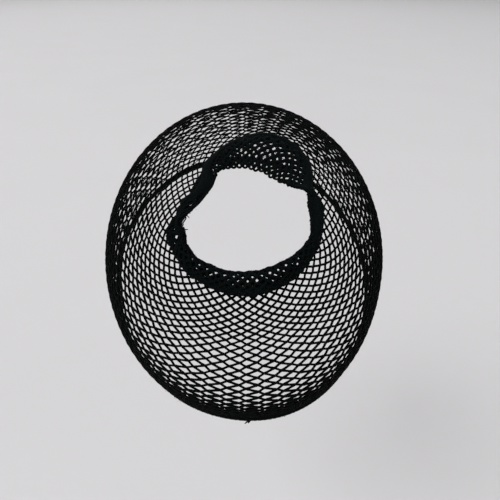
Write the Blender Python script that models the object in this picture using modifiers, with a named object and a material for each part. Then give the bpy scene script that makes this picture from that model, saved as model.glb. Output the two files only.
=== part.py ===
"""Open-ended net cap, worn with a wig: a coarse diamond net, a turned crown cuff and a hem band.

Metres, +Z up, front of the head towards -Y. The origin is the middle of the head that the
cap is stretched over. Every surface is laid on that head form, which is not a piece itself.
"""

import math
from bisect import bisect_right
from collections import namedtuple

import bmesh
import bpy
from mathutils import Vector

MM = 0.001

# The head form that the cap takes its shape from: its reach from the origin each way.
HEAD_HALF_WIDTH = 77.3 * MM
HEAD_BACK = 92.0 * MM
HEAD_FRONT = 92.0 * MM
HEAD_ABOVE = 85.0 * MM
HEAD_BELOW = 92.0 * MM

# The hem lies on one slanting plane, from low on the nape to high on the forehead.
NAPE_DROP = 62.0 * MM
FOREHEAD_RISE = 27.0 * MM
HEM_ROLL = math.radians(3.0)
HEM_HEIGHT = 6.0 * MM
HEM_THICKNESS = 2.4 * MM

# The crown opening faces up and back.
CROWN_TILT = math.radians(43.0)
OPENING_RADIUS = 31.0 * MM
CUFF_STAND = 5.0 * MM
CUFF_ROLL = 3.2 * MM
CUFF_EDGE = 1.8 * MM

# The net: its wall, the width of its strands, and its meshes round and down.
NET_WALL = 1.3 * MM
NET_STRAND = 4.2 * MM
NET_COLUMNS = 10
NET_ROWS = 6
CLEARANCE = 0.3 * MM

# Near-black yarn, a little denser in the knitted edges than in the open net.
NET_COLOUR = (0.012, 0.018, 0.020)
EDGE_COLOUR = (0.010, 0.015, 0.017)

# How finely the shapes are cut.
CUFF_STATIONS = 120
CUFF_SIDE_POINTS = 6
HEM_STATIONS = 96
HEM_SECTION_POINTS = 8
STRAND_CUTS = 1
BORDER_CUTS = 3
SEARCH_STEPS = 40
MERGE = 0.02 * MM
SMOOTH_ANGLE = math.radians(50.0)

# The cuff's cross-section round the opening. Angles run from the nape, at 0, by way of the
# wearer's right ear. Root, bend and edge are distances from the opening's axis, along the
# head, as shares of OPENING_RADIUS. Bend and edge lifts are shares of CUFF_STAND, and the
# thickness is a share of CUFF_ROLL. An edge beyond the root is turned out over the net,
# and an edge inside it is turned in over the opening.
Fold = namedtuple("Fold", "angle root bend bend_lift edge edge_lift thickness")
FOLDS = (
    Fold(0, 1.01, 0.99, 1.00, 1.22, 0.64, 0.94),
    Fold(30, 1.00, 0.99, 1.00, 1.19, 0.64, 0.94),
    Fold(60, 1.05, 1.04, 1.05, 1.16, 0.72, 1.00),
    Fold(90, 0.95, 0.90, 1.50, 1.08, 1.10, 1.12),
    Fold(107, 1.01, 0.96, 1.25, 0.85, 1.85, 1.12),
    Fold(120, 1.12, 1.10, 1.60, 0.62, 0.64, 1.18),
    Fold(135, 1.19, 1.19, 1.70, 0.56, 0.48, 1.18),
    Fold(150, 1.22, 1.22, 1.70, 0.54, 0.48, 1.18),
    Fold(165, 1.16, 1.17, 1.70, 0.53, 0.48, 1.12),
    Fold(180, 1.01, 1.01, 1.70, 0.55, 0.48, 1.06),
    Fold(195, 0.89, 0.89, 1.70, 0.55, 0.52, 1.00),
    Fold(210, 0.79, 0.78, 1.70, 0.55, 0.75, 0.94),
    Fold(225, 0.76, 0.73, 1.65, 0.51, 1.08, 0.94),
    Fold(240, 0.74, 0.71, 1.65, 0.48, 1.16, 0.94),
    Fold(255, 0.76, 0.72, 1.65, 0.49, 1.12, 0.94),
    Fold(270, 0.84, 0.79, 1.60, 0.59, 1.40, 1.00),
    Fold(283, 0.95, 0.90, 1.40, 0.86, 1.80, 1.00),
    Fold(300, 0.99, 0.95, 1.30, 1.15, 0.84, 1.00),
    Fold(315, 1.04, 1.02, 1.05, 1.17, 0.68, 0.94),
    Fold(330, 1.02, 1.00, 1.00, 1.18, 0.64, 0.94),
)


def clear_scene():
    for obj in list(bpy.data.objects):
        bpy.data.objects.remove(obj, do_unlink=True)


def head_axes(point):
    """The head form's reach along X, Y and Z on the side where the point lies."""
    return Vector((
        HEAD_HALF_WIDTH,
        HEAD_BACK if point.y > 0 else HEAD_FRONT,
        HEAD_ABOVE if point.z > 0 else HEAD_BELOW,
    ))


def on_head(direction):
    """The point of the head form in a direction from the origin."""
    axes = head_axes(direction)
    reach = math.sqrt(sum((d / a) ** 2 for d, a in zip(direction, axes)))
    return direction / reach


def head_normal(point):
    axes = head_axes(point)
    return Vector([p / a ** 2 for p, a in zip(point, axes)]).normalized()


CROWN_AXIS = Vector((0.0, math.cos(CROWN_TILT), math.sin(CROWN_TILT)))
TO_NAPE = Vector((0.0, math.sin(CROWN_TILT), -math.cos(CROWN_TILT)))
TO_RIGHT_EAR = Vector((-1.0, 0.0, 0.0))
CROWN_REACH = on_head(CROWN_AXIS).length


def head_point(angle, turn):
    """A point of the head form: `angle` round the crown axis, and `turn` away from it."""
    outward = TO_NAPE * math.cos(angle) + TO_RIGHT_EAR * math.sin(angle)
    return on_head(CROWN_AXIS * math.cos(turn) + outward * math.sin(turn))


def lifted(point, lift):
    return point + head_normal(point) * lift


def hem_plane():
    """The unit normal of the hem's plane, pointing up, and its distance from the origin."""
    nape_y = HEAD_BACK * math.sqrt(1 - (NAPE_DROP / HEAD_BELOW) ** 2)
    brow_y = HEAD_FRONT * math.sqrt(1 - (FOREHEAD_RISE / HEAD_ABOVE) ** 2)
    slope = Vector((0.0, FOREHEAD_RISE + NAPE_DROP, nape_y + brow_y)).normalized()
    normal = (slope * math.cos(HEM_ROLL) + TO_RIGHT_EAR * math.sin(HEM_ROLL)).normalized()
    return normal, normal.dot(Vector((0.0, nape_y, -NAPE_DROP)))


HEM_NORMAL, HEM_LEVEL = hem_plane()


def hem_turn(angle, rise):
    """How far from the crown axis a meridian comes down to `rise` above the hem's plane."""
    above, below = 0.0, math.pi
    for _ in range(SEARCH_STEPS):
        middle = (above + below) / 2
        if head_point(angle, middle).dot(HEM_NORMAL) > HEM_LEVEL + rise:
            above = middle
        else:
            below = middle
    return above


def fold_at(angle):
    """The cuff's cross-section at an angle, on a smooth curve through the table's rows."""
    degrees = math.degrees(angle) % 360
    count = len(FOLDS)
    low = bisect_right([fold.angle for fold in FOLDS], degrees) - 1
    rows = [FOLDS[(low + step) % count] for step in (-1, 0, 1, 2)]
    angles = [rows[0].angle, rows[1].angle, rows[2].angle, rows[3].angle]
    for step in range(1, 4):
        while angles[step] < angles[step - 1]:
            angles[step] += 360
    if degrees < angles[1]:
        degrees += 360
    span = angles[2] - angles[1]
    share = (degrees - angles[1]) / span
    values = []
    for before, start, end, after in zip(*(row[1:] for row in rows)):
        leave = (end - before) / (angles[2] - angles[0]) * span
        arrive = (after - start) / (angles[3] - angles[1]) * span
        values.append(
            start * (2 * share ** 3 - 3 * share ** 2 + 1)
            + leave * (share ** 3 - 2 * share ** 2 + share)
            + end * (3 * share ** 2 - 2 * share ** 3)
            + arrive * (share ** 3 - share ** 2)
        )
    return Fold(math.degrees(angle), *values)


def cuff_side(fold, share, side):
    """A point of the cuff's outline: along it from root to edge, on its outer or inner side.

    Returned as a distance from the opening's axis along the head, and a lift off the head.
    """
    root = Vector((fold.root * OPENING_RADIUS, CLEARANCE))
    bend = Vector((fold.bend * OPENING_RADIUS, fold.bend_lift * CUFF_STAND))
    edge = Vector((fold.edge * OPENING_RADIUS, fold.edge_lift * CUFF_STAND))
    middle = (root * (1 - share) ** 2 + bend * 2 * share * (1 - share) + edge * share ** 2)
    along = ((bend - root) * (1 - share) + (edge - bend) * share).normalized()
    thickness = fold.thickness * CUFF_ROLL * (1 - share) + CUFF_EDGE * share
    across = Vector((along.y, -along.x)) * thickness / 2
    if side == 0:
        return middle + along * thickness / 2
    return middle + across * side


def cuff_outline(angle):
    """The cuff's closed cross-section at an angle, as points of the model."""
    fold = fold_at(angle)
    steps = [step / CUFF_SIDE_POINTS for step in range(CUFF_SIDE_POINTS + 1)]
    outline = [cuff_side(fold, share, 1) for share in steps]
    outline.append(cuff_side(fold, 1.0, 0))
    outline.extend(cuff_side(fold, share, -1) for share in reversed(steps))
    return [lifted(head_point(angle, out / CROWN_REACH), lift) for out, lift in outline]


def hem_outline(angle):
    """The hem band's rounded cross-section at an angle, as points of the model."""
    outline = []
    for point in range(HEM_SECTION_POINTS):
        around = 2 * math.pi * (point + 0.5) / HEM_SECTION_POINTS
        widest = math.cos(math.pi / HEM_SECTION_POINTS)
        rise = HEM_HEIGHT / 2 * (1 + math.sin(around) / widest)
        lift = HEM_THICKNESS / 2 * (1 + math.cos(around) / widest)
        outline.append(lifted(head_point(angle, hem_turn(angle, rise)), lift))
    return outline


def new_mesh_object(name, bm, collection, material):
    mesh = bpy.data.meshes.new(name)
    bm.to_mesh(mesh)
    bm.free()
    mesh.shade_smooth()
    mesh.set_sharp_from_angle(angle=SMOOTH_ANGLE)
    mesh.materials.append(material)
    obj = bpy.data.objects.new(name, mesh)
    collection.objects.link(obj)
    return obj


def yarn_material(name, colour, roughness):
    material = bpy.data.materials.new(name)
    material.use_nodes = True
    shader = material.node_tree.nodes["Principled BSDF"]
    shader.inputs["Base Color"].default_value = (*colour, 1.0)
    shader.inputs["Roughness"].default_value = roughness
    shader.inputs["Metallic"].default_value = 0.0
    material.diffuse_color = (*colour, 1.0)
    return material


def loft_round(stations, outline_at):
    """A closed ring: one cross-section at each station round the crown axis, joined up."""
    sections = [outline_at(2 * math.pi * station / stations) for station in range(stations)]
    around = len(sections[0])
    bm = bmesh.new()
    bmesh.ops.create_grid(bm, x_segments=stations, y_segments=around, size=1.0)
    bm.verts.ensure_lookup_table()
    for vert in bm.verts:
        station = round((vert.co.x + 1) / 2 * stations) % stations
        point = round((vert.co.y + 1) / 2 * around) % around
        vert.co = sections[station][point]
    bmesh.ops.remove_doubles(bm, verts=bm.verts, dist=MERGE)
    bmesh.ops.recalc_face_normals(bm, faces=bm.faces)
    return bm


def knit_tube(columns, rows):
    """A plain tube of unit radius, one unit tall for each row, whose faces become meshes."""
    bm = bmesh.new()
    bmesh.ops.create_circle(bm, segments=columns, radius=1.0, cap_ends=False)
    edges = list(bm.edges)
    for _ in range(rows):
        grown = bmesh.ops.extrude_edge_only(bm, edges=edges)["geom"]
        verts = [item for item in grown if isinstance(item, bmesh.types.BMVert)]
        bmesh.ops.translate(bm, verts=verts, vec=(0.0, 0.0, 1.0))
        edges = [e for v in verts for e in v.link_edges if e.other_vert(v) in verts]
        edges = list(set(edges))
    return bm


def to_diamonds(bm):
    """Turns each square of the tube by half a mesh, so that the strands run aslant."""
    squares = [edge for edge in bm.edges if not edge.is_boundary]
    bmesh.ops.poke(bm, faces=bm.faces)
    bmesh.ops.dissolve_edges(bm, edges=squares, use_verts=False)


def split_edges(bm):
    """Puts extra points along each strand, so that it can follow the head."""
    for edge in list(bm.edges):
        cuts = BORDER_CUTS if edge.is_boundary else STRAND_CUTS
        start = edge.verts[0]
        for left in range(cuts, 0, -1):
            start = bmesh.utils.edge_split(edge, start, 1 / (left + 1))[1]


def lay_on_head(bm, rows):
    """Maps the tube on to the head: round the tube to round the crown axis, and rows down it."""
    for vert in bm.verts:
        angle = math.atan2(vert.co.y, vert.co.x)
        fold = fold_at(angle)
        rim = fold.root * OPENING_RADIUS + fold.thickness * CUFF_ROLL / 2 + CLEARANCE
        top = rim / CROWN_REACH
        bottom = hem_turn(angle, HEM_HEIGHT + CLEARANCE)
        vert.co = head_point(angle, top + (bottom - top) * vert.co.z / rows)


def build_net(collection):
    bm = knit_tube(NET_COLUMNS, NET_ROWS)
    to_diamonds(bm)
    split_edges(bm)
    lay_on_head(bm, NET_ROWS)
    bmesh.ops.recalc_face_normals(bm, faces=bm.faces)
    meshes = list(bm.faces)
    bmesh.ops.inset_individual(bm, faces=meshes, thickness=NET_STRAND / 2, use_even_offset=True)
    bmesh.ops.delete(bm, geom=meshes, context="FACES_ONLY")
    for vert in bm.verts:
        vert.co = on_head(vert.co)
    net = new_mesh_object("net_body", bm, collection, yarn_material("net yarn", NET_COLOUR, 0.8))
    wall = net.modifiers.new("wall", "SOLIDIFY")
    wall.thickness = NET_WALL
    wall.offset = 1.0


def build_cuff(collection):
    bm = loft_round(CUFF_STATIONS, cuff_outline)
    new_mesh_object("crown_cuff", bm, collection, yarn_material("cuff yarn", EDGE_COLOUR, 0.85))


def build_hem(collection):
    bm = loft_round(HEM_STATIONS, hem_outline)
    new_mesh_object("hem_band", bm, collection, yarn_material("hem yarn", EDGE_COLOUR, 0.85))


def main():
    clear_scene()
    collection = bpy.data.collections.new("net_cap")
    bpy.context.scene.collection.children.link(collection)
    build_net(collection)
    build_cuff(collection)
    build_hem(collection)


main()
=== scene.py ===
"""Looks of an open-ended net cap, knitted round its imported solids.

Metres, +Z up, the cap's front towards -Y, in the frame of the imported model.
One lattice of slanting strands makes the whole cap. Its rows count down the net from the
crown opening to the hem, and from the same line over the turned cuff to its free edge.
"""

import math
from collections import namedtuple
from functools import partial

import bpy
import bmesh
import numpy as np
from bpy.props import FloatProperty, FloatVectorProperty, IntProperty, PointerProperty
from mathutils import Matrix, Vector


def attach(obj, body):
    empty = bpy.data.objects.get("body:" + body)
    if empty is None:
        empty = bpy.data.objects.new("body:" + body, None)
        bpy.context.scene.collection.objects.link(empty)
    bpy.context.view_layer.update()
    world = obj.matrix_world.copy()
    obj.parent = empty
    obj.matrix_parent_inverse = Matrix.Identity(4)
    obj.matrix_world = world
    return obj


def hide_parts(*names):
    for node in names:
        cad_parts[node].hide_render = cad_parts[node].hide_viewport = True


bl_info = {
    "name": "Open-ended net cap",
    "version": (1, 0, 0),
    "blender": (4, 5, 0),
    "location": "View3D > Sidebar > Net Cap",
    "description": "Knits a stretch net cap with a turned lacy cuff and an elastic hem",
    "category": "Add Mesh",
}

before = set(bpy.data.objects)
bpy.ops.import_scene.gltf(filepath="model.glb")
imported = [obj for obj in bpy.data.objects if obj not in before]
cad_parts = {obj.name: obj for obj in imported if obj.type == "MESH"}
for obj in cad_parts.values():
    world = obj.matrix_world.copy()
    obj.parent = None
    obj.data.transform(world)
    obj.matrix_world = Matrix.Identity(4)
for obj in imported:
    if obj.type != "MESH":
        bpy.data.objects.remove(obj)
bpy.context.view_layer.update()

MM = 0.001
TURN = 2 * math.pi

# Stretches round the crown opening, in degrees from the nape by way of the right side as worn:
# where the free edge is drawn straight, where it has no loops, where the cuff goes over from
# inside to outside, where it is frayed, and where loops are torn out of it.
DRAWN_STRETCH = (226, 285)
PLAIN_EDGE = 262
SLACK_STRETCH = (285, 322)
FRAYED_STRETCH = (286, 300)
TORN_STRETCH = (288, 306)

# What has random draws of its own: the seed grows by one from each to the next.
DRAWS = "meshes scallops frays fibres threads tail torn rim slack".split()

# Ends of yarn on the hem band, `around` being where on its section they stand, in radians.
End = namedtuple("End", "longest thickest around curl")
STUB = End(0.9 * MM, 0.75 * MM, (-1.5, -0.4), 0.4)
HAIR = End(0.8 * MM, 0.1 * MM, (-1.8, 1.8), 0.9)

# The stage, in metres and watts: a round floor that sweeps up into a wall, disc lights that
# shine on the cap, and the point that the camera looks at.
FLOOR_RADIUS, SWEEP_RADIUS, WALL_HEIGHT = 10.5, 1.7, 7.5
CAMERA_TARGET = (0.0, 0.0005, 0.0028)
Light = namedtuple("Light", "name place size power")
LIGHTS = (
    Light("key light", (7.0, 6.0, 10.0), 7.0, 1500),
    Light("side light", (-8.0, 5.0, 5.5), 6.0, 250),
    Light("back light", (1.5, -9.5, 8.0), 6.0, 400),
)

# Row heights down the net, as relative sizes, at the nape and at the forehead. A place is a
# share of the rows, from the crown opening, at 0, to the hem, at 1.
Row = namedtuple("Row", "place nape forehead")
ROW_HEIGHTS = (
    Row(0.00, 2.10, 1.85),
    Row(0.10, 2.10, 1.85),
    Row(0.20, 1.90, 1.90),
    Row(0.28, 1.90, 2.30),
    Row(0.36, 2.25, 2.90),
    Row(0.44, 2.75, 3.60),
    Row(0.52, 3.10, 4.30),
    Row(0.60, 3.35, 4.90),
    Row(0.67, 3.35, 5.20),
    Row(0.73, 2.95, 5.40),
    Row(0.79, 2.40, 5.40),
    Row(0.86, 1.80, 5.00),
    Row(0.93, 1.60, 3.60),
    Row(1.00, 1.50, 2.00),
)

# The cuff's cross-section round the opening, close to the solids'. Angles run from the nape, at
# 0, by way of the right side as worn. Root, bend and edge are distances from the opening's
# axis as shares of its radius, the lifts are shares of the cuff's stand, and the thickness
# is a share of its roll.
Fold = namedtuple("Fold", "angle root bend bend_lift edge edge_lift thickness")
FOLDS = (
    Fold(0, 1.05, 0.88, 1.15, 1.24, 0.58, 0.94),
    Fold(30, 1.04, 0.90, 1.15, 1.21, 0.58, 0.94),
    Fold(60, 1.10, 0.96, 1.20, 1.14, 0.72, 1.00),
    Fold(76, 1.03, 0.94, 1.35, 1.07, 0.94, 1.02),
    Fold(90, 0.97, 0.93, 1.50, 1.00, 1.22, 1.04),
    Fold(99, 0.98, 0.94, 1.40, 0.83, 1.35, 1.06),
    Fold(108, 1.02, 0.98, 1.45, 0.64, 0.96, 1.10),
    Fold(120, 1.12, 1.10, 1.60, 0.58, 0.64, 1.18),
    Fold(135, 1.19, 1.19, 1.70, 0.55, 0.48, 1.18),
    Fold(150, 1.22, 1.22, 1.70, 0.54, 0.48, 1.18),
    Fold(165, 1.16, 1.17, 1.70, 0.53, 0.48, 1.12),
    Fold(180, 1.01, 1.01, 1.70, 0.55, 0.48, 1.06),
    Fold(195, 0.89, 0.89, 1.70, 0.55, 0.52, 1.00),
    Fold(210, 0.79, 0.78, 1.70, 0.55, 0.75, 0.94),
    Fold(225, 0.76, 0.73, 1.65, 0.50, 1.08, 0.94),
    Fold(240, 0.74, 0.71, 1.65, 0.46, 1.16, 0.94),
    Fold(250, 0.75, 0.71, 1.65, 0.455, 1.12, 0.94),
    Fold(262, 0.79, 0.74, 1.63, 0.49, 1.20, 0.97),
    Fold(271, 0.85, 0.79, 1.60, 0.53, 1.30, 1.00),
    Fold(281, 0.93, 0.85, 1.45, 0.62, 1.34, 1.00),
    Fold(291, 0.99, 0.91, 1.05, 0.90, 1.10, 1.00),
    Fold(299, 1.02, 0.93, 0.90, 0.92, 0.90, 1.00),
    Fold(308, 1.04, 0.90, 1.15, 1.13, 0.80, 1.00),
    Fold(318, 1.06, 0.93, 1.20, 1.19, 0.70, 0.94),
    Fold(335, 1.05, 0.91, 1.15, 1.21, 0.58, 0.94),
)

# Where the cuff is packed dense: the middle of its roll, as a share from root to edge, the
# roll's half width and half thickness as shares of the cuff's roll, how far the free edge
# is tucked back, as a share of the longest tuck, and how full its strands are.
Roll = namedtuple("Roll", "angle middle half_width half_thickness tuck strands")
ROLLS = (
    Roll(0, 0.95, 0.28, 0.20, 0.24, 0.97),
    Roll(45, 0.92, 0.34, 0.22, 0.26, 0.94),
    Roll(70, 0.68, 0.82, 0.40, 0.30, 1.02),
    Roll(95, 0.56, 0.86, 0.40, 0.20, 1.02),
    Roll(112, 0.40, 0.95, 0.50, 0.04, 1.16),
    Roll(130, 0.27, 0.90, 0.60, 0.00, 1.22),
    Roll(165, 0.23, 0.84, 0.60, 0.00, 1.22),
    Roll(205, 0.27, 0.90, 0.60, 0.00, 1.14),
    Roll(222, 0.46, 0.96, 0.56, 0.04, 0.98),
    Roll(234, 0.70, 0.80, 0.50, 0.12, 0.86),
    Roll(247, 0.84, 0.74, 0.46, 0.14, 0.80),
    Roll(263, 0.80, 0.62, 0.36, 0.26, 0.84),
    Roll(278, 0.62, 0.40, 0.24, 0.86, 1.02),
    Roll(290, 0.56, 0.16, 0.14, 0.70, 0.86),
    Roll(299, 0.90, 0.14, 0.12, 0.15, 0.60),
    Roll(312, 0.94, 0.20, 0.16, 0.30, 0.92),
    Roll(335, 0.94, 0.28, 0.20, 0.24, 0.97),
)

# The hem band at an angle: its height and thickness, how far it and the last rows are held
# off the form, and how far it hangs below its plane, all as shares of the band's own height
# or thickness.
Band = namedtuple("Band", "angle height thickness lift drop")
BANDS = (
    Band(0, 1.00, 1.00, 0.00, 0.00),
    Band(10, 0.98, 1.00, 0.15, 0.05),
    Band(20, 0.92, 0.95, 0.22, 0.20),
    Band(40, 0.76, 0.80, 0.12, 0.50),
    Band(50, 0.70, 0.78, 0.15, 0.60),
    Band(60, 0.66, 0.78, 0.10, 0.55),
    Band(90, 0.62, 0.85, 0.00, 0.15),
    Band(135, 0.66, 0.80, 0.00, 0.00),
    Band(180, 0.70, 0.80, 0.00, 0.00),
    Band(225, 0.66, 0.80, 0.00, 0.00),
    Band(270, 0.60, 0.80, 0.00, 0.15),
    Band(300, 0.50, 0.62, 0.30, 0.90),
    Band(310, 0.48, 0.60, 0.42, 1.15),
    Band(320, 0.50, 0.62, 0.44, 1.15),
    Band(335, 0.58, 0.68, 0.30, 0.75),
    Band(350, 0.82, 0.88, 0.00, 0.20),
)


def setting(kind, **looks):
    """Makes a kind of setting from its name, description and default."""
    return lambda name, description, default: kind(
        name=name, description=description, default=default, **looks
    )


length = setting(FloatProperty, unit="LENGTH", precision=5)
angle = setting(FloatProperty, subtype="ANGLE")
share = setting(FloatProperty, subtype="FACTOR")
number = setting(IntProperty, min=1)
colour = setting(FloatVectorProperty, subtype="COLOR", min=0, max=1)


class FormSettings(bpy.types.PropertyGroup):
    """The form that the cap is stretched over, which is not a piece itself"""

    half_width: length("Half width", "Reach of the form to either side", 77.0 * MM)
    back: length("Back", "Reach of the form backwards", 92 * MM)
    front: length("Front", "Reach of the form forwards", 92 * MM)
    above: length("Above", "Reach of the form upwards", 84.6 * MM)
    below: length("Below", "Reach of the form downwards", 91.4 * MM)
    sway: length("Sway", "How far the form swings to one side at its lowest", 3.6 * MM)
    crown_tilt: angle("Crown tilt", "How far the crown's axis rises from level", math.radians(43))
    nape_drop: length("Nape drop", "Depth of the hem at the nape", 61.6 * MM)
    forehead_rise: length("Forehead rise", "Height of the hem at the forehead", 27 * MM)
    hem_roll: angle("Hem roll", "How far the hem's plane leans to one side", math.radians(3))


class NetSettings(bpy.types.PropertyGroup):
    """The open net"""

    columns: number("Columns", "Meshes round the cap", 48)
    rows: number("Rows", "Meshes from the opening to the hem", 26)
    strand: length("Strand", "Thickness of a strand at the nape", 1.06 * MM)
    drawn: share("Drawn", "How much thinner the strands are drawn at the forehead", 0.40)
    crowded: share("Crowded", "How much thinner the strands lie in the last rows", 0.42)
    lift: length("Lift", "How far the strands' middles stand off the form", 0.55 * MM)
    weave: length("Weave", "How far strands ride over each other at a crossing", 0.20 * MM)
    knot: share("Knot", "How much fuller a strand is at a crossing", 0.14)
    ease: share("Ease", "How far a crossing is drawn out sideways", 0.24)
    gather: share("Gather", "How much closer the columns stand at the nape", 0.14)
    twist: angle("Twist", "How far the columns lean from top to hem", math.radians(-3.2))
    start: angle("Start", "Where the first column stands at the nape", math.radians(2.6))
    uneven: share("Uneven", "How far crossings stray, as a share of a mesh", 0.013)
    rumple: share("Rumple", "Share of the unevenness that the net takes", 1)
    seed: number("Seed", "Picks the unevenness", 7)
    flat_round: length("Flat round", "Width of the slack net, slit open and laid flat", 260 * MM)
    flat_length: length("Flat length", "Length of the slack net laid flat", 150 * MM)
    colour: colour("Colour", "Colour of the yarn", (0.0012, 0.0015, 0.0014))


class CuffSettings(bpy.types.PropertyGroup):
    """The turned cuff round the crown opening"""

    radius: length("Radius", "Radius of the crown opening along the form", 31 * MM)
    stand: length("Stand", "How far the cuff stands off the form", 5 * MM)
    roll: length("Roll", "Thickness of the cuff at its roll", 3.2 * MM)
    edge: length("Edge", "Thickness of the cuff at its edge", 2.2 * MM)
    clearance: length("Clearance", "Gap between the cuff and the form", 0.3 * MM)
    tuck: length("Tuck", "How far the free edge is tucked back at most", 17 * MM)
    rows: number("Rows", "Rows of meshes across the cuff", 6)
    strand: length("Strand", "Thickness of the slack strands", 1.30 * MM)
    ease: share("Ease", "How far a crossing of the cuff is drawn out sideways", 0.7)
    packed: share("Packed", "How much fuller the strands are along the roll", 0.06)
    rumple: share("Rumple", "Share of the unevenness that the cuff takes", 4.5)
    rim: length("Rim", "Thickness of the yarn drawn along the turned edge", 1.5 * MM)
    scallop: length("Scallop", "Height of the loops along the free edge", 1.2 * MM)
    stitch: length("Stitch", "Width of a knitted stitch of the roll", 1.7 * MM)
    relief: length("Relief", "How far the roll's stitches stand proud", 0.22 * MM)
    frays: number("Frays", "Frayed ends beside the opening", 18)
    hairs: number("Hairs", "Loose fibres on the cuff", 900)
    colour: colour("Colour", "Colour of the yarn", (0.0016, 0.0026, 0.0026))


class HemSettings(bpy.types.PropertyGroup):
    """The elastic hem band"""

    height: length("Height", "Height of the band along the form", 5.4 * MM)
    thickness: length("Thickness", "Thickness of the band", 2.0 * MM)
    stitch: length("Stitch", "Width of a knitted stitch", 2.0 * MM)
    relief: length("Relief", "How far stitches stand proud", 0.36 * MM)
    tooth: length("Tooth", "How far each column draws the lower edge down", 0.45 * MM)
    stubs: number("Stubs", "Short ends of yarn on the band", 44)
    hairs: number("Hairs", "Loose fibres on the band", 900)
    colour: colour("Colour", "Colour of the yarn", (0.0016, 0.0026, 0.0026))


class StageSettings(bpy.types.PropertyGroup):
    """The floor, the lights and the camera"""

    floor_drop: length("Floor drop", "How far the floor lies below the cap's origin", 300 * MM)
    floor_colour: colour("Floor colour", "Colour of floor and backdrop", (0.527, 0.520, 0.528))
    distance: length("Distance", "Camera's distance from its target", 307 * MM)
    elevation: angle("Elevation", "Camera's height above level", math.radians(28))
    focal: length("Focal length", "Camera's focal length for a 36 mm sensor", 37.73 * MM)
    shift: share("Shift", "How far the picture is shifted sideways", 0.012)
    daylight: share("Daylight", "Strength of the light from all round", 0.50)


class CapSettings(bpy.types.PropertyGroup):
    """All sizes and colours of the cap"""

    form: PointerProperty(type=FormSettings)
    net: PointerProperty(type=NetSettings)
    cuff: PointerProperty(type=CuffSettings)
    hem: PointerProperty(type=HemSettings)
    stage: PointerProperty(type=StageSettings)


def unit(vectors):
    return vectors / np.linalg.norm(vectors, axis=-1, keepdims=True)


def round_the_crown(table, angles):
    """Every column of a table at some angles, on a smooth closed curve through its rows."""
    rows = np.array(table, float)
    degrees = np.degrees(angles) % 360
    at = np.concatenate([rows[-2:, 0] - 360, rows[:, 0], rows[:2, 0] + 360])
    values = np.concatenate([rows[-2:, 1:], rows[:, 1:], rows[:2, 1:]])
    low = np.searchsorted(at, degrees, side="right") - 1
    a0, a1, a2, a3 = (at[low + step][..., None] for step in (-1, 0, 1, 2))
    before, start, end, after = (values[low + step] for step in (-1, 0, 1, 2))
    span = a2 - a1
    s = (degrees[..., None] - a1) / span
    leave = (end - before) / (a2 - a0) * span
    arrive = (after - start) / (a3 - a1) * span
    smooth = (
        start * (2 * s**3 - 3 * s**2 + 1)
        + leave * (s**3 - 2 * s**2 + s)
        + end * (3 * s**2 - 2 * s**3)
        + arrive * (s**3 - s**2)
    )
    return np.moveaxis(smooth, -1, 0)


class Form:
    """The form under the cap, with the crown opening's axis and the hem's plane."""

    def __init__(self, sizes):
        self.high = np.array([sizes.half_width, sizes.back, sizes.above])
        self.low = np.array([sizes.half_width, sizes.front, sizes.below])
        self.sway = sizes.sway
        tilt = sizes.crown_tilt
        self.axis = np.array([0.0, math.cos(tilt), math.sin(tilt)])
        self.to_nape = np.array([0.0, math.sin(tilt), -math.cos(tilt)])
        self.to_right = np.array([-1.0, 0.0, 0.0])
        self.reach = float(np.linalg.norm(self.surface(self.axis)))
        nape_y = sizes.back * math.sqrt(1 - (sizes.nape_drop / sizes.below) ** 2)
        brow_y = sizes.front * math.sqrt(1 - (sizes.forehead_rise / sizes.above) ** 2)
        slope = unit(np.array([0.0, sizes.forehead_rise + sizes.nape_drop, nape_y + brow_y]))
        roll = sizes.hem_roll
        self.hem_normal = unit(slope * math.cos(roll) + self.to_right * math.sin(roll))
        self.hem_level = float(self.hem_normal @ np.array([0.0, nape_y, -sizes.nape_drop]))

    def surface(self, direction):
        axes = np.where(direction > 0, self.high, self.low)
        return direction / np.linalg.norm(direction / axes, axis=-1, keepdims=True)

    def normal(self, point):
        axes = np.where(point > 0, self.high, self.low)
        return unit(point / axes**2)

    def away(self, points):
        """From the crown axis straight out to the points."""
        return points - (points @ self.axis)[..., None] * self.axis

    def point(self, angles, turns, lifts=0.0):
        """A point `angles` round the crown axis and `turns` away from it, lifted off."""
        angles, turns, lifts = np.broadcast_arrays(angles, turns, lifts)
        cos, sin = np.cos(angles)[..., None], np.sin(angles)[..., None]
        outward = self.to_nape * cos + self.to_right * sin
        turns = turns[..., None]
        point = self.surface(self.axis * np.cos(turns) + outward * np.sin(turns))
        point = point + self.normal(point) * lifts[..., None]
        depth = np.clip(-point[..., 2] / self.low[2], 0, 1)
        return point + self.to_right * (self.sway * depth**1.5)[..., None]

    def hem_turn(self, angles, rises, halvings=40):
        """How far a meridian runs down from the crown axis to `rises` above the hem."""
        angles, rises = np.broadcast_arrays(angles, rises)
        above = np.zeros(angles.shape)
        below = np.full(angles.shape, math.pi)
        for _ in range(halvings):
            middle = (above + below) / 2
            over = self.point(angles, middle) @ self.hem_normal > self.hem_level + rises
            above = np.where(over, middle, above)
            below = np.where(over, below, middle)
        return above


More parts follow.
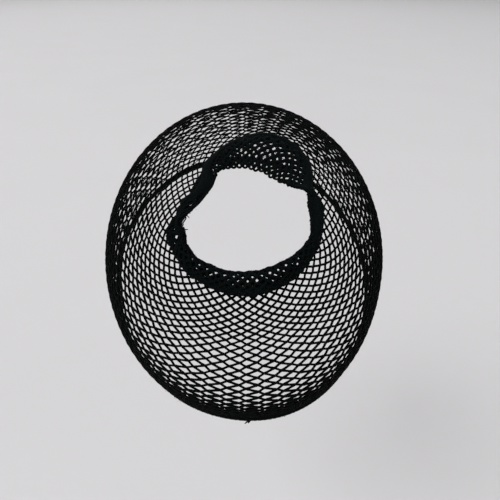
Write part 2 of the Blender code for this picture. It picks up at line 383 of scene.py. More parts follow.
class Cap:
    """The cap's two knitted surfaces, by column round it and row along it."""

    def __init__(self, settings):
        self.form = Form(settings.form)
        self.net = settings.net
        self.cuff = settings.cuff
        self.hem = settings.hem
        self.columns = settings.net.columns
        self.rows = settings.net.rows
        places, nape, forehead = np.array(ROW_HEIGHTS).T
        self.places = fine = np.linspace(0, 1, 20 * self.rows + 1)
        self.depths = []
        for heights in (nape, forehead):
            steps = np.interp((fine[1:] + fine[:-1]) / 2, places, heights)
            depth = np.concatenate([[0.0], np.cumsum(steps)])
            self.depths.append(depth / depth[-1])
        stray_rows = 2 * (self.rows + self.cuff.rows) + 2
        strays = self.random("meshes").normal(size=(2 * self.columns, stray_rows, 3))
        self.strays = strays * settings.net.uneven
        self.around = around = np.linspace(0, TURN, 721)
        heights, _, held_off, drops = round_the_crown(BANDS, around)
        self.hem_turns = self.form.hem_turn(around, self.hem.height * (heights * 0.5 - drops))
        self.hem_lifts = self.hem.thickness * held_off
        self.cuff_paths, self.cuff_lengths = self.fold_cuff()

    def random(self, name):
        return np.random.default_rng(self.net.seed + DRAWS.index(name))

    def angle_of(self, column, depth=0.0):
        """The angle round the crown of a column, `depth` being 0 at the top and 1 at the hem."""
        even = TURN * column / self.columns
        gathered = even - self.net.gather * np.sin(even)
        return gathered + self.net.start + self.net.twist * depth

    def net_surface(self, column, row):
        """A point of the net: rows run from 0, at the crown opening, down to the hem."""
        place = row / self.rows
        angles = self.angle_of(column, place)
        at_nape, at_brow = (np.interp(place, self.places, depth) for depth in self.depths)
        forward = (1 - np.cos(angles)) / 2
        depth = at_nape + (at_brow - at_nape) * forward
        root = round_the_crown(FOLDS, angles)[0] * self.cuff.radius / self.form.reach
        bottom = np.interp(angles % TURN, self.around, self.hem_turns)
        lift = self.net.lift + self.held_off(angles) * depth**2
        return self.form.point(angles, root + (bottom - root) * depth, lift)

    def held_off(self, angles):
        """How far the hem stands off the form."""
        return np.interp(angles % TURN, self.around, self.hem_lifts)

    def net_fullness(self, column, row):
        """How thick the net's strands are, as a share: drawn thinner towards the forehead."""
        forward = (1 - np.cos(self.angle_of(column, row / self.rows))) / 2
        crowded = np.clip((row - self.rows) / 7 + 1, 0, 1)
        return (1 - self.net.drawn * forward) * (1 - self.net.crowded * crowded)

    def cuff_middle(self, angles, across):
        """Distance and lift of the cuff's middle, `across` being 0 at its root, 1 at its edge."""
        root, bend, bend_lift, edge, edge_lift, _ = round_the_crown(FOLDS, angles)
        radius, stand = self.cuff.radius, self.cuff.stand
        weights = (1 - across) ** 2, 2 * across * (1 - across), across**2
        out = radius * (root * weights[0] + bend * weights[1] + edge * weights[2])
        lift = (
            (self.cuff.clearance + self.net.lift) * weights[0]
            + stand * bend_lift * weights[1]
            + stand * edge_lift * weights[2]
        )
        return out, lift

    def fold_cuff(self, steps=96):
        """The knit's path across the cuff at every half degree, and each path's length.

        A path runs up the cuff's inner side to its edge, round it, and back under by the
        length of the tuck. It is given as distance and lift, at even steps along it.
        """
        angles = self.around
        across = np.linspace(0, 1, 41)[:, None]
        middle = np.stack(self.cuff_middle(angles, across), -1)
        along = unit(np.gradient(middle, axis=0))
        side = np.stack([-along[..., 1], along[..., 0]], -1)
        *_, fullness = round_the_crown(FOLDS, angles)
        tuck = np.clip(round_the_crown(ROLLS, angles)[3], 0, 1)
        thick = fullness * self.cuff.roll * (1 - across) + self.cuff.edge * across
        double = np.minimum(1, tuck * self.cuff.tuck / (4 * MM))
        apart = np.maximum(thick - self.cuff.strand, 0.1 * MM) / 2 * double
        inner = middle + side * apart[..., None]
        outer = middle - side * apart[..., None]
        turn = np.linspace(0, math.pi, 9)[1:-1, None]
        reach, rise = apart[-1] * np.sin(turn), apart[-1] * np.cos(turn)
        rim = middle[-1] + along[-1] * reach[..., None] + side[-1] * rise[..., None]
        skirt = outer[0] + np.linspace(0, 6 * MM, 13)[1:, None, None] * np.array([1.0, 0.0])
        skirt[..., 1] = self.cuff.clearance + self.net.lift + self.cuff.strand * 0.8
        whole = np.concatenate([inner, rim, outer[::-1], skirt])
        distance = np.linalg.norm(np.diff(whole, axis=0), axis=-1)
        distance = np.concatenate([np.zeros((1, len(angles))), np.cumsum(distance, axis=0)])
        lengths = np.minimum(distance[len(inner) - 1] + tuck * self.cuff.tuck, distance[-1])
        paths = np.empty((len(angles), steps + 1, 2))
        for index, full_length in enumerate(lengths):
            places = np.linspace(0, full_length, steps + 1)
            for axis in (0, 1):
                run = distance[:, index], whole[:, index, axis]
                paths[index, :, axis] = np.interp(places, *run)
        return paths, lengths

    def cuff_at(self, angles, share):
        """A point of the cuff's knit, `share` being 0 at its root and 1 at its free edge."""
        angles, share = np.broadcast_arrays(angles, share)
        turn = angles % TURN / TURN * (len(self.around) - 1)
        step = np.clip(share, 0, 1) * (self.cuff_paths.shape[1] - 1)
        low_turn = np.minimum(turn.astype(int), len(self.around) - 2)
        low_step = np.minimum(step.astype(int), self.cuff_paths.shape[1] - 2)
        across = (turn - low_turn)[..., None]
        along = (step - low_step)[..., None]
        near = self.cuff_paths[low_turn, low_step] * (1 - along)
        near = near + self.cuff_paths[low_turn, low_step + 1] * along
        far = self.cuff_paths[low_turn + 1, low_step] * (1 - along)
        far = far + self.cuff_paths[low_turn + 1, low_step + 1] * along
        out, lift = np.moveaxis(near * (1 - across) + far * across, -1, 0)
        return self.form.point(angles, out / self.form.reach, lift)

    def cuff_surface(self, column, row):
        """A point of the cuff: rows run from 0, where the net ends, to its free edge."""
        return self.cuff_at(self.angle_of(column), row / self.cuff.rows)

    def cuff_fullness(self, column, row):
        """How thick the cuff's strands are, as a share: packed along the roll, lacy off it."""
        angles = self.angle_of(column)
        middle, half_width, _, tuck, strands = round_the_crown(ROLLS, angles)
        lengths = np.interp(angles % TURN, self.around, self.cuff_lengths)
        upper = 1 - np.clip(tuck, 0, 1) * self.cuff.tuck / np.maximum(lengths, self.cuff.tuck)
        off = (row / self.cuff.rows - middle * upper) * lengths
        packed = np.exp(-((off / (half_width * self.cuff.roll)) ** 4))
        return strands * (1 + self.cuff.packed * packed)


def normals_of(surface, first, second, step):
    """The surface's unit normals by small steps in its two coordinates."""
    along_first = surface(first + step, second) - surface(first - step, second)
    along_second = surface(first, second + step) - surface(first, second - step)
    return unit(np.cross(along_second, along_first))


def placed(name, data):
    """An object in the scene."""
    obj = bpy.data.objects.new(name, data)
    bpy.context.scene.collection.objects.link(obj)
    return obj


def piece(name, parts, finish, slot, *nodes):
    """A knitted piece, riding on the cap's one body and named for the solids it stands for.

    parts are its vertices, its faces, and a pair of uvs for each corner of each face in order.
    """
    vertices, faces, uvs = parts
    mesh = bpy.data.meshes.new(name)
    mesh.from_pydata(vertices.tolist(), [], faces)
    layer = mesh.uv_layers.new(name="yarn")
    layer.uv.foreach_set("vector", np.asarray(uvs, np.float32).ravel())
    mesh.materials.append(finish)
    mesh.shade_smooth()
    mesh.validate()
    obj = placed(name, mesh)
    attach(obj, "root")
    if nodes:
        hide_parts(*nodes)


def tubes(lines, radii, ups, sides):
    """(vertices, faces, uvs) of round strands along lines of points, closed at their ends.

    lines and ups are arrays of strands by points by XYZ, and radii of strands by points.
    The uvs are millimetres along the strand and turns round it.
    """
    strands, points = radii.shape
    forward = unit(np.gradient(lines, axis=1))
    beside = unit(np.cross(forward, ups))
    over = np.cross(beside, forward)
    around = TURN * np.arange(sides) / sides
    cos, sin = np.cos(around)[:, None], np.sin(around)[:, None]
    spokes = beside[:, :, None] * cos + over[:, :, None] * sin
    vertices = lines[:, :, None] + spokes * radii[:, :, None, None]
    steps = np.linalg.norm(np.diff(lines, axis=1), axis=-1) / MM
    along = np.concatenate([np.zeros((strands, 1)), np.cumsum(steps, axis=1)], axis=1)
    index = np.arange(strands * points * sides).reshape(strands, points, sides)
    here, there = index[:, :-1], index[:, 1:]
    walls = np.stack([here, there, np.roll(there, -1, 2), np.roll(here, -1, 2)], -1)
    turns = np.broadcast_to(np.arange(sides) / sides, (strands, points - 1, sides))
    near = np.broadcast_to(along[:, :-1, None], turns.shape)
    far = np.broadcast_to(along[:, 1:, None], turns.shape)
    ahead = turns + 1 / sides
    corners = [near, turns, far, turns, far, ahead, near, ahead]
    uvs = np.stack(corners, -1).reshape(-1, 2)
    faces = walls.reshape(-1, 4).tolist()
    faces.extend(index[:, 0].tolist())
    faces.extend(index[:, -1, ::-1].tolist())
    caps = np.zeros((2 * strands * sides, 2))
    return vertices.reshape(-1, 3), faces, np.concatenate([uvs, caps])


def joined(parts):
    """Several (vertices, faces, uvs) as one."""
    vertices, faces, uvs = [], [], []
    count = 0
    for part_vertices, part_faces, part_uvs in parts:
        faces.extend([[corner + count for corner in face] for face in part_faces])
        vertices.append(part_vertices)
        uvs.append(part_uvs)
        count += len(part_vertices)
    return np.concatenate(vertices), faces, np.concatenate(uvs)


def loose_threads(starts, headings, lengths, thickness, random, curl=0.6, points=6, sides=4):
    """Short threads from starts towards headings, each bent its own way, as strands."""
    count = len(starts)
    part = np.linspace(0, 1, points)
    bend = np.cross(headings, random.normal(size=(count, 3)))
    reach = lengths[:, None, None] * part[:, None]
    lines = starts[:, None] + headings[:, None] * reach
    lines = lines + bend[:, None] * curl * reach * part[:, None]
    taper = 1 - 0.55 * part**2
    radii = thickness[:, None] / 2 * taper
    ups = np.broadcast_to(unit(np.cross(headings, bend))[:, None], lines.shape)
    return tubes(lines, radii, ups, sides)


def woven(cap, knit, surface, fullness, first_stray, sides=6):
    """Every strand of both leans over a knitted surface, as (vertices, faces, uvs)."""
    rows = knit.rows
    steps = np.array([0.0, 0.25, 0.75])
    half_rows = np.concatenate([(np.arange(2 * rows)[:, None] + steps).ravel(), [2 * rows]])
    whole = np.minimum(half_rows.astype(int), 2 * rows - 1)
    part = half_rows - whole
    eased = part - knit.ease * np.sin(TURN * part) / TURN
    starts = 2 * np.arange(cap.columns)[:, None]
    parts = []
    for lean in (1, -1):
        before, after = (
            cap.strays[(starts + lean * at) % (2 * cap.columns), first_stray + at]
            for at in (whole, whole + 1)
        )
        stray = (before + (after - before) * part[:, None]) * knit.rumple
        column = (starts + lean * half_rows) / 2 + stray[..., 0]
        fade = np.minimum(1, np.minimum(half_rows, 2 * rows - half_rows) / 2)
        row = np.broadcast_to((whole + eased) / 2, column.shape) + stray[..., 1] * fade
        ups = normals_of(surface, column, row, 0.05)
        weave = cap.net.weave * lean * np.cos(math.pi * half_rows)
        lines = surface(column, row) + ups * weave[:, None]
        knots = 1 + cap.net.knot * np.abs(np.cos(math.pi * half_rows)) ** 3
        radii = knit.strand / 2 * knots * (1 + 3 * stray[..., 2]) * fullness(column, row)
        parts.append(tubes(lines, radii, ups, sides))
    return joined(parts)


def stitches_round(grid, axis, size, least=1):
    """Where the grid's steps one way round a ring lie, counted in stitches, and their number."""
    steps = np.linalg.norm(np.roll(grid, -1, axis) - grid, axis=-1).mean(1 - axis)
    stitches = max(least, round(steps.sum() / size))
    return np.concatenate([[0.0], np.cumsum(steps)[:-1]]) / steps.sum() * stitches, stitches


def knitted_ring(section, knit, stations, points=40):
    """(vertices, faces, uvs) of a closed ring with raised stitches of the knit's size.

    section gives points from an array of angles round the crown and one of angles round the
    cross-section. Stitches are V-shaped, in columns across the ring.
    """
    along = TURN * np.arange(stations) / stations
    around = TURN * np.arange(points) / points
    grid = section(along[:, None], around[None, :])
    side = np.roll(grid, -1, 0) - np.roll(grid, 1, 0)
    up = np.roll(grid, -1, 1) - np.roll(grid, 1, 1)
    normals = unit(np.cross(up, side))
    middle = grid.mean(1, keepdims=True)
    if ((grid - middle) * normals).sum() < 0:
        normals = -normals
    x, wales = stitches_round(grid, 0, knit.stitch)
    y, courses = stitches_round(grid, 1, 0.8 * knit.stitch, least=3)
    fold = np.abs(x[:, None] % 1 - 0.5) * 2
    leg = np.abs(np.cos(math.pi * (y[None, :] - 0.6 * fold))) ** 0.7
    groove = 1 - np.abs(2 * fold - 1) ** 3
    raised = grid + normals * (knit.relief * (leg * groove - 0.5))[..., None]
    index = np.arange(stations * points).reshape(stations, points)
    here, there = index, np.roll(index, -1, 0)
    walls = np.stack([here, np.roll(here, -1, 1), np.roll(there, -1, 1), there], -1)
    x_next = np.append(x[1:], wales)
    y_next = np.append(y[1:], courses)
    u, v = np.broadcast_arrays(x[:, None], y[None, :])
    u_next, v_next = np.broadcast_arrays(x_next[:, None], y_next[None, :])
    uvs = np.stack([u, v, u, v_next, u_next, v_next, u_next, v], -1) * knit.stitch / MM
    if (np.cross(up, side) * normals).sum() > 0:
        walls = walls[..., ::-1]
        uvs = uvs.reshape(stations, points, 4, 2)[:, :, ::-1]
    return raised.reshape(-1, 3), walls.reshape(-1, 4).tolist(), uvs.reshape(-1, 2)


class Value:
    """One output of a material's node, so that shader maths reads as Python."""

    def __init__(self, tree, socket):
        self.tree = tree
        self.socket = socket

    def math(self, operation, first, second=None):
        node = self.tree.nodes.new("ShaderNodeMath")
        node.operation = operation
        for slot, value in zip(node.inputs, (first, second)):
            if isinstance(value, Value):
                self.tree.links.new(value.socket, slot)
            elif value is not None:
                slot.default_value = value
        return Value(self.tree, node.outputs[0])

    def __add__(self, other):
        return self.math("ADD", self, other)

    __radd__ = __add__

    def __sub__(self, other):
        return self.math("SUBTRACT", self, other)

    def __rsub__(self, other):
        return self.math("SUBTRACT", other, self)

    def __mul__(self, other):
        return self.math("MULTIPLY", self, other)

    __rmul__ = __mul__

    def wave(self):
        return self.math("SINE", self)


class Finish:
    """A material being made, with one method for every kind of node but maths."""

    def __init__(self, name):
        self.material = bpy.data.materials.new(name)
        self.material.use_nodes = True
        self.tree = self.material.node_tree
        self.tree.nodes.clear()

    def node(self, kind, settings, sockets, output=0):
        made = self.tree.nodes.new("ShaderNode" + kind)
        for name, value in settings.items():
            if name == "stops":
                self.set_stops(made.color_ramp, value)
            else:
                setattr(made, name, value)
        for name, value in sockets.items():
            if isinstance(value, Value):
                self.tree.links.new(value.socket, made.inputs[name])
            else:
                made.inputs[name].default_value = value
        return Value(self.tree, made.outputs[output])

    def set_stops(self, ramp, stops):
        while len(ramp.elements) < len(stops):
            ramp.elements.new(1.0)
        for element, (position, shade) in zip(ramp.elements, stops):
            element.position = position
            element.color = (*shade, 1.0)

    def finish(self, shader):
        output = self.tree.nodes.new("ShaderNodeOutputMaterial")
        self.tree.links.new(shader.socket, output.inputs["Surface"])
        return self.material


def yarn(name, shade, twist, roughness):
    """Twisted yarn: slanting plies and fibres along the strand, its colour lighter on the high
    spots and darker in the grooves as painted highlight and painted shade.
    """
    made = Finish(name)
    place = made.node("UVMap", {"uv_map": "yarn"}, {})
    along, around = (made.node("SeparateXYZ", {}, {"Vector": place}, axis) for axis in (0, 1))
    plies = (TURN * (along * (1 / twist) + around * 2)).wave() * 0.5 + 0.5
    stretched = made.node("VectorMath", {"operation": "MULTIPLY"}, {0: place, 1: (2.5, 9.0, 1.0)})
    fibres = made.node("TexNoise", {}, {"Vector": stretched, "Scale": 2.0, "Detail": 3.0})
    room = made.node("TexCoord", {}, {}, output=3)
    patches = made.node("TexNoise", {}, {"Vector": room, "Scale": 38.0, "Detail": 4.0})
    dark = tuple(0.62 * part for part in shade)
    light = tuple(2.2 * part + 0.002 for part in shade)
    # Base colour: painted highlight on the crests and painted shade in the grooves, from the ply
    # wave and fibre noise that also raise the bump; the fibre flecks and the large patches are
    # partly the yarn's own tone.
    tone = made.node(
        "ValToRGB",
        {"stops": [(0.30, dark), (0.55, shade), (0.80, light)]},
        {"Fac": plies * 0.25 + fibres * 0.45 + patches * 0.30},
    )
    height = plies * 0.6 + fibres * 0.4
    bump = made.node("Bump", {}, {"Height": height, "Strength": 0.5, "Distance": 0.15 * MM})
    looks = {
        "Base Color": tone,
        "Roughness": roughness + (fibres - 0.5) * 0.25,
        "Specular IOR Level": 0.025,
        "Sheen Weight": 0.006,
        "Sheen Roughness": 0.5,
        "Sheen Tint": (0.62, 0.78, 0.78, 1.0),
        "Normal": bump,
    }
    return made.finish(made.node("BsdfPrincipled", {}, looks))


def backdrop(shade):
    """A pale matt floor with a faint mottle."""
    made = Finish("backdrop paper")
    room = made.node("TexCoord", {}, {}, output=3)
    mottle = made.node("TexNoise", {}, {"Vector": room, "Scale": 3.0, "Detail": 2.0})
    shades = [(0.3, tuple(0.985 * part for part in shade)), (0.7, shade)]
    tone = made.node("ValToRGB", {"stops": shades}, {"Fac": mottle})
    looks = {"Base Color": tone, "Roughness": 0.95, "Specular IOR Level": 0.1}
    return made.finish(made.node("BsdfPrincipled", {}, looks))


class NETCAP_OT_net(bpy.types.Operator):
    """Knits the open net from the crown opening to the hem"""

    bl_idname = "netcap.net"
    bl_label = "Open net"

    def execute(self, context):
        cap = Cap(context.scene.net_cap)
        parts = woven(cap, cap.net, cap.net_surface, cap.net_fullness, first_stray=0)
        finish = yarn("net yarn finish", tuple(cap.net.colour), twist=1.1, roughness=0.72)
        piece("open_net", parts, finish, "net_yarn", "net_body")
        return {"FINISHED"}


def scallops(cap):
    """Small loops along the cuff's free edge, one at each column."""
    random = cap.random("scallops")
    part = np.linspace(0, 1, 9)
    column = np.arange(cap.columns)[:, None] + part[None, :]
    column = column + random.normal(size=(cap.columns, 1)) * 0.06
    angles = cap.angle_of(column)
    tall = cap.cuff.scallop * random.uniform(0.6, 1.35, size=(cap.columns, 1))
    near_plain = np.clip(2 * np.cos(angles - math.radians(PLAIN_EDGE)) - 1, 0, 1)
    tall = tall * (1 - 0.85 * near_plain)
    ends = cap.cuff_at(angles, 1.0)
    outward = unit(ends - cap.cuff_at(angles, 0.97))
    lines = ends + outward * (tall * np.sin(math.pi * part) ** 0.8)[..., None]
    ups = normals_of(cap.cuff_at, angles, np.full(angles.shape, 0.95), 0.02)
    radii = np.full(column.shape, cap.cuff.strand * 0.42)
    return tubes(lines, radii, ups, 6)


def innermost(cap, angles, limit):
    """Where on its path, as a share up to limit, the cuff comes nearest to the axis."""
    shares = limit * np.linspace(0.05, 1, 40).reshape(-1, *[1] * np.ndim(angles))
    points = cap.cuff_at(angles, shares)
    distance = np.linalg.norm(cap.form.away(points), axis=-1)
    nearest = np.argmin(distance, axis=0)[None]
    return np.take_along_axis(np.broadcast_to(shares, distance.shape), nearest, 0)[0]


def rim_yarn(cap):
    """The yarn drawn along the opening where the cuff turns, which evens its edge."""
    random = cap.random("rim")
    along = np.linspace(math.pi, 3 * math.pi, 721)
    middle, _, _, tuck, _ = round_the_crown(ROLLS, along)
    lengths = np.interp(along % TURN, cap.around, cap.cuff_lengths)
    limit = middle * (1 - tuck * cap.cuff.tuck / np.maximum(lengths, cap.cuff.tuck))
    share = innermost(cap, along, limit)
    window = np.hanning(25) / np.hanning(25).sum()
    share = np.convolve(np.pad(share, 25, mode="wrap"), window, "same")[25:-25]
    places = np.linspace(math.pi, 3 * math.pi, 97)
    up, out = (np.interp(along, places, random.normal(size=97))[:, None] for _ in range(2))
    line = cap.cuff_at(along, share) + up * 0.16 * MM * cap.form.axis
    line = line + out * 0.2 * MM * unit(cap.form.away(line))
    ups = normals_of(cap.cuff_at, along, share, 0.01)
    radii = np.full(along.shape, cap.cuff.rim / 2)
    return tubes(line[None], radii[None], ups[None], 8)


def drawn_edge(cap):
    """The yarn that draws the free edge straight on the left."""
    along = np.radians(np.linspace(*DRAWN_STRETCH, 119))
    points = cap.cuff_at(along, innermost(cap, along, 1.0))
    window = np.hanning(33) / np.hanning(33).sum()
    padded = np.pad(points, ((16, 16), (0, 0)), mode="reflect", reflect_type="odd")
    line = np.stack([np.convolve(axis, window, "valid") for axis in padded.T], -1)
    ups = np.broadcast_to(cap.form.axis, line.shape)
    radii = cap.cuff.rim / 2 * (1 - 0.35 * np.abs(np.linspace(-1, 1, len(along))) ** 4)
    return tubes(line[None], radii[None], ups[None], 8)


def slack_rows(cap):
    """Slack rows of knit on the net, where the cuff goes over from inside to outside."""
    random = cap.random("slack")
    count = 6
    first, last = SLACK_STRETCH
    inset = 1.3
    row = np.arange(count)[:, None]
    along = np.linspace(0, 1, 161)
    span = last - first - 2 * inset * row
    angles = np.radians(first + inset * row + span * along)
    waves = np.cos(angles * 96 + math.pi * row + random.normal(size=(count, 1)) * 0.4)
    stray = random.normal(size=(count, 24))
    places = np.linspace(0, 1, 24)
    stray = np.stack([np.interp(along, places, line) for line in stray])
    out = cap.cuff.radius * (1.075 + 0.022 * row) + (0.34 * waves + 0.16 * stray) * MM
    lift = cap.net.lift + (cap.net.strand + cap.cuff.strand * 0.7) / 2 + 0.12 * MM * stray
    lines = cap.form.point(angles, out / cap.form.reach, lift)
    radii = np.full(angles.shape, cap.cuff.strand * 0.4)
    return tubes(lines, radii, cap.form.normal(lines), 6)


def torn_loops(cap):
    """Slack loops pulled out of the edge where the cuff is torn."""
    random = cap.random("torn")
    count = 20
    part = np.linspace(0, 1, 13)
    middle = np.radians(random.uniform(*TORN_STRETCH, size=(count, 1)))
    width = random.uniform(0.7, 1.9, size=(count, 1)) * MM / (cap.cuff.radius * 0.85)
    angles = middle - width * np.cos(math.pi * part)
    share = innermost(cap, angles, 1.0)
    ends = cap.cuff_at(angles, share.mean(1, keepdims=True))
    lean = random.normal(size=(count, 1, 1)) * 0.6
    heading = unit(cap.form.axis * lean - unit(cap.form.away(ends)))
    tall = random.uniform(1.0, 2.8, size=(count, 1, 1)) * MM
    bulge = (np.sin(math.pi * part) ** 0.8)[:, None]
    sink = random.uniform(0.0, 1.6, size=(count, 1, 1)) * MM
    lines = ends - heading * sink + heading * tall * bulge
    thick = random.uniform(0.26, 0.40, size=(count, 1)) * MM
    ups = np.broadcast_to(cap.form.axis, lines.shape)
    return tubes(lines, np.broadcast_to(thick, angles.shape), ups, 6)


def frays(cap):
    """Torn ends along the stretch of the opening where the cuff is creased double."""
    random = cap.random("frays")
    count = cap.cuff.frays
    angles = np.radians(random.uniform(*FRAYED_STRETCH, size=count))
    starts = cap.cuff_at(angles, innermost(cap, angles, 1.0))
    inward = -unit(cap.form.away(starts))
    headings = unit(inward + random.normal(size=(count, 3)) * 0.45)
    lengths = random.uniform(1.2, 2.6, size=count) * MM
    thickness = random.uniform(0.5, 0.9, size=count) * MM
    return loose_threads(starts - inward * 0.6 * MM, headings, lengths, thickness, random)


def cuff_hairs(cap):
    """Fine fibres standing off the cuff's knit."""
    random = cap.random("fibres")
    count = cap.cuff.hairs
    column = random.uniform(0, cap.columns, size=count)
    row = random.uniform(0.1, cap.cuff.rows - 0.1, size=count)
    ups = normals_of(cap.cuff_surface, column, row, 0.05)
    ups = ups * random.choice((-1, 1), size=count)[:, None]
    starts = cap.cuff_surface(column, row) + ups * cap.cuff.strand * 0.3
    headings = unit(ups * 0.8 + random.normal(size=(count, 3)) * 0.6)
    lengths = random.uniform(0.5, 1.1, size=count) * MM
    thickness = random.uniform(0.06, 0.11, size=count) * MM
    looks = {"curl": 0.9, "points": 5, "sides": 3}
    return loose_threads(starts, headings, lengths, thickness, random, **looks)


def roll_section(cap, along, around):
    """The dense roll's surface, round the cuff's middle."""
    middle, half_width, half_thickness, *_ = round_the_crown(ROLLS, along)
    across = np.linspace(0, 1, 13)
    out, lift = cap.cuff_middle(along, across)
    long = np.hypot(np.diff(out), np.diff(lift)).sum(-1)[:, None]
    across = middle + half_width * cap.cuff.roll / long * np.cos(around)
    angles = np.broadcast_to(along, across.shape)
    ups = normals_of(partial(middle_of_cuff, cap), angles, across, 0.01)
    thick = half_thickness * cap.cuff.roll
    return middle_of_cuff(cap, angles, across) + ups * (thick * np.sin(around))[..., None]


def middle_of_cuff(cap, angles, across):
    """A point of the cuff's middle."""
    out, lift = cap.cuff_middle(angles, across)
    return cap.form.point(angles, out / cap.form.reach, lift)


class NETCAP_OT_cuff(bpy.types.Operator):
    """Knits the lacy cuff and its dense roll round the crown opening"""

    bl_idname = "netcap.cuff"
    bl_label = "Crown cuff"

    def execute(self, context):
        cap = Cap(context.scene.net_cap)
        finish = yarn("cuff yarn finish", tuple(cap.cuff.colour), twist=1.0, roughness=0.78)
        first_stray = 2 * cap.rows + 1
        lace = woven(cap, cap.cuff, cap.cuff_surface, cap.cuff_fullness, first_stray)
        worked = (scallops, torn_loops, frays, rim_yarn, drawn_edge, slack_rows)
        parts = joined([lace, *(work(cap) for work in worked)])
        piece("cuff_lace", parts, finish, "cuff_yarn", "crown_cuff")
        piece("cuff_hairs", cuff_hairs(cap), finish, "cuff_yarn")
        parts = knitted_ring(partial(roll_section, cap), cap.cuff, stations=760)
        piece("cuff_roll", parts, finish, "cuff_yarn")
        return {"FINISHED"}


def band_ends(cap, random, count, kind):
    """Stubs or hairs that stand off the hem band."""
    along = random.uniform(0, TURN, size=count)
    place = random.uniform(*kind.around, size=count)
    starts = hem_section(cap, along, place)
    middles = (starts + hem_section(cap, along, place + math.pi)) / 2
    headings = unit(unit(starts - middles) + random.normal(size=(count, 3)) * 0.5)
    lengths = kind.longest * random.uniform(0.5, 1.1, size=count)
    thickness = kind.thickest * random.uniform(0.6, 1.1, size=count)
    return loose_threads(starts, headings, lengths, thickness, random, kind.curl, points=5)


def tail(cap):
    """The loose end of the hem's yarn, at the middle of the nape."""
    random = cap.random("tail")
    starts = hem_section(cap, np.radians([0.2, 0.9, 0.6]), np.array([-1.0, -1.2, -1.1]))
    headings = unit(np.array([[0.50, 0.05, -0.86], [0.34, 0.10, -0.92], [0.60, 0.0, -0.80]]))
    lengths = np.array([3.2, 2.6, 2.0]) * MM
    thickness = np.array([0.9, 0.8, 0.7]) * MM
    looks = {"curl": 0.12, "points": 8, "sides": 6}
    return loose_threads(starts, headings, lengths, thickness, random, **looks)


def hem_section(cap, along, around):
    """The band's surface, with a tooth of its lower edge at each column of the net."""
    height, thickness, _, drop = round_the_crown(BANDS, along)
    even = along - cap.net.start - cap.net.twist + cap.net.gather * np.sin(along)
    tooth = cap.hem.tooth * np.abs(np.cos(even * cap.columns / 2)) ** 1.5
    rise = cap.hem.height * (height / 2 * (1 + np.sin(around)) - drop)
    rise = rise - tooth * (1 - np.sin(around)) / 2
    lift = cap.hem.thickness / 2 * thickness * (1 + np.cos(around)) + cap.held_off(along)
    angles, rises = np.broadcast_arrays(along, rise)
    return cap.form.point(angles, cap.form.hem_turn(angles, rises), lift)


class NETCAP_OT_hem(bpy.types.Operator):
    """Knits the elastic hem band"""

    bl_idname = "netcap.hem"
    bl_label = "Hem band"

    def execute(self, context):
        cap = Cap(context.scene.net_cap)
        finish = yarn("hem yarn finish", tuple(cap.hem.colour), twist=1.0, roughness=0.8)
        parts = knitted_ring(partial(hem_section, cap), cap.hem, stations=1400)
        piece("hem_knit", parts, finish, "hem_yarn", "hem_band")
        random = cap.random("threads")
        stubs = band_ends(cap, random, cap.hem.stubs, STUB)
        hairs = band_ends(cap, random, cap.hem.hairs, HAIR)
        parts = joined([stubs, hairs, tail(cap)])
        piece("hem_threads", parts, finish, "hem_yarn")
        return {"FINISHED"}


def lay_floor(sizes):
    """A round floor whose edge sweeps up into a wall all round."""
    bm = bmesh.new()
    profile = [(0.0, 0.0), (FLOOR_RADIUS / 2, 0.0), (FLOOR_RADIUS, 0.0)]
    for step in range(1, 13):
        bend = math.pi / 2 * step / 12
        out = FLOOR_RADIUS + SWEEP_RADIUS * math.sin(bend)
        profile.append((out, SWEEP_RADIUS * (1 - math.cos(bend))))
    profile.append((FLOOR_RADIUS + SWEEP_RADIUS, SWEEP_RADIUS + WALL_HEIGHT))
    verts = [bm.verts.new((x, 0.0, z - sizes.floor_drop)) for x, z in profile]
    edges = [bm.edges.new(pair) for pair in zip(verts, verts[1:])]
    bmesh.ops.spin(bm, geom=verts + edges, cent=(0, 0, 0), axis=(0, 0, 1), angle=TURN, steps=72)
    bmesh.ops.remove_doubles(bm, verts=bm.verts, dist=0.1 * MM)
    bmesh.ops.recalc_face_normals(bm, faces=bm.faces)
    mesh = bpy.data.meshes.new("backdrop")
    bm.to_mesh(mesh)
    bm.free()
    mesh.shade_smooth()
    mesh.materials.append(backdrop(tuple(sizes.floor_colour)))
    placed("backdrop", mesh)


def hang(light):
    """A disc light that shines on the cap."""
    lamp = bpy.data.lights.new(light.name, "AREA")
    lamp.shape = "DISK"
    lamp.size = light.size
    lamp.energy = light.power
    obj = placed(light.name, lamp)
    obj.location = light.place
    obj.rotation_euler = (-Vector(light.place)).to_track_quat("-Z", "Y").to_euler()


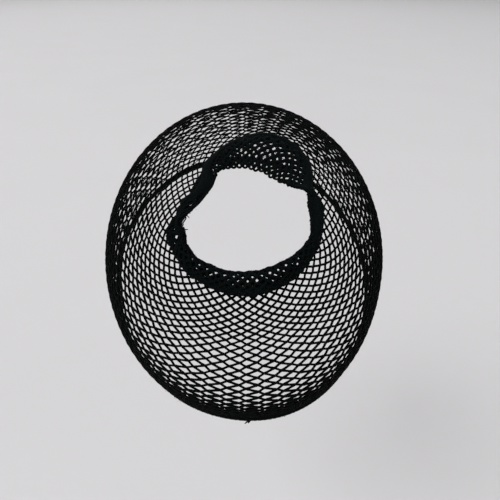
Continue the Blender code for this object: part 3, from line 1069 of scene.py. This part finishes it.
def set_camera(sizes):
    data = bpy.data.cameras.new("camera")
    data.sensor_width = 36
    data.lens = sizes.focal / MM
    data.shift_x = sizes.shift
    data.clip_start = 0.01
    camera = placed("camera", data)
    back = Vector((0.0, math.cos(sizes.elevation), math.sin(sizes.elevation)))
    camera.location = Vector(CAMERA_TARGET) + back * sizes.distance
    camera.rotation_euler = back.to_track_quat("Z", "Y").to_euler()
    bpy.context.scene.camera = camera


class NETCAP_OT_stage(bpy.types.Operator):
    """Lays the floor and backdrop, and sets the lights and the camera"""

    bl_idname = "netcap.stage"
    bl_label = "Stage"

    def execute(self, context):
        sizes = context.scene.net_cap.stage
        lay_floor(sizes)
        for light in LIGHTS:
            hang(light)
        world = bpy.data.worlds.new("studio")
        world.use_nodes = True
        background = world.node_tree.nodes["Background"].inputs
        background["Color"].default_value = (1, 1, 1, 1)
        background["Strength"].default_value = sizes.daylight
        context.scene.world = world
        context.scene.view_settings.view_transform = "Standard"
        set_camera(sizes)
        return {"FINISHED"}


class NETCAP_PT_panel(bpy.types.Panel):
    """Lists the cap's pieces in the 3D view's sidebar"""

    bl_idname = "NETCAP_PT_panel"
    bl_label = "Net Cap"
    bl_space_type = "VIEW_3D"
    bl_region_type = "UI"
    bl_category = "Net Cap"

    def draw(self, context):
        for operator in OPERATORS:
            self.layout.operator(operator.bl_idname)


OPERATORS = (NETCAP_OT_net, NETCAP_OT_cuff, NETCAP_OT_hem, NETCAP_OT_stage)
GROUPS = (FormSettings, NetSettings, CuffSettings, HemSettings, StageSettings, CapSettings)
CLASSES = GROUPS + OPERATORS + (NETCAP_PT_panel,)


def register():
    for cls in CLASSES:
        bpy.utils.register_class(cls)
    bpy.types.Scene.net_cap = PointerProperty(type=CapSettings)


def unregister():
    del bpy.types.Scene.net_cap
    for cls in reversed(CLASSES):
        bpy.utils.unregister_class(cls)


def main():
    register()
    for operator in OPERATORS:
        group, name = operator.bl_idname.split(".")
        getattr(getattr(bpy.ops, group), name)()


if __name__ == "__main__":
    main()
